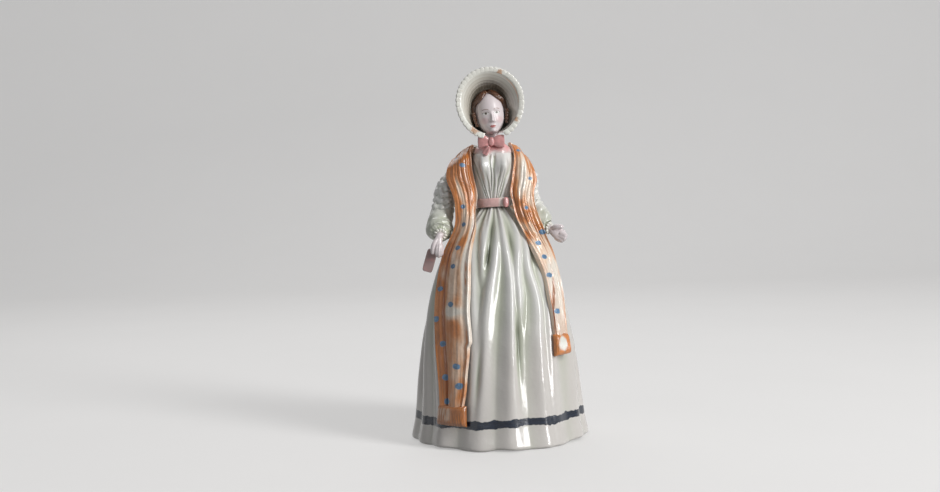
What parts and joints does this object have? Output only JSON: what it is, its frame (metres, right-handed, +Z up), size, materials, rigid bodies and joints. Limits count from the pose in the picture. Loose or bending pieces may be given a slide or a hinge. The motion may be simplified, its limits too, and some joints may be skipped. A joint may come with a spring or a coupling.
{
  "type": "porcelain lady figurine",
  "caption": "Glazed porcelain lady in a frilled bonnet and full folded skirt, a dotted shawl over the shoulders and a small book in one hand; stands on its hem as an ornament.",
  "frame": {"origin": "middle of the foot, at the level it stands on", "axes": "+Z up through the bonnet; the lady faces -Y and her left hand is at +X"},
  "size_m": [0.1, 0.0938, 0.2099],
  "materials": {
    "celadon_glaze": "pale grey-green white porcelain under a clear gloss glaze",
    "white_glaze": "white porcelain under a clear gloss glaze",
    "flesh_glaze": "cool white porcelain with a painted blush, gloss glaze",
    "rose_glaze": "salmon pink overglaze paint, gloss",
    "ochre_glaze": "orange and ochre brushed overglaze paint on cream, gloss",
    "brown_glaze": "chestnut brown overglaze paint, gloss",
    "bisque": "unglazed white porcelain, matt"
  },
  "bodies": {
    "root": {"skirt_shell": "celadon_glaze", "bodice": "celadon_glaze", "right_sleeve": "celadon_glaze", "left_sleeve": "celadon_glaze", "bonnet_crown": "white_glaze", "bonnet_brim": "white_glaze", "brim_frill": "white_glaze", "right_cuff": "white_glaze", "left_cuff": "white_glaze", "small_book": "white_glaze", "head": "flesh_glaze", "right_hand": "flesh_glaze", "left_hand": "flesh_glaze", "belt": "rose_glaze", "collar": "rose_glaze", "sash_knot": "rose_glaze", "bow_knot": "rose_glaze", "right_bow_loop": "rose_glaze", "left_bow_loop": "rose_glaze", "bow_tail": "rose_glaze", "shawl_right_front": "ochre_glaze", "shawl_left_front": "ochre_glaze", "shawl_back": "ochre_glaze", "shawl_right_end": "ochre_glaze", "shawl_left_end": "ochre_glaze", "hair": "brown_glaze", "right_ringlet": "brown_glaze", "left_ringlet": "brown_glaze", "base_plate": "bisque"}
  },
  "joints": []
}
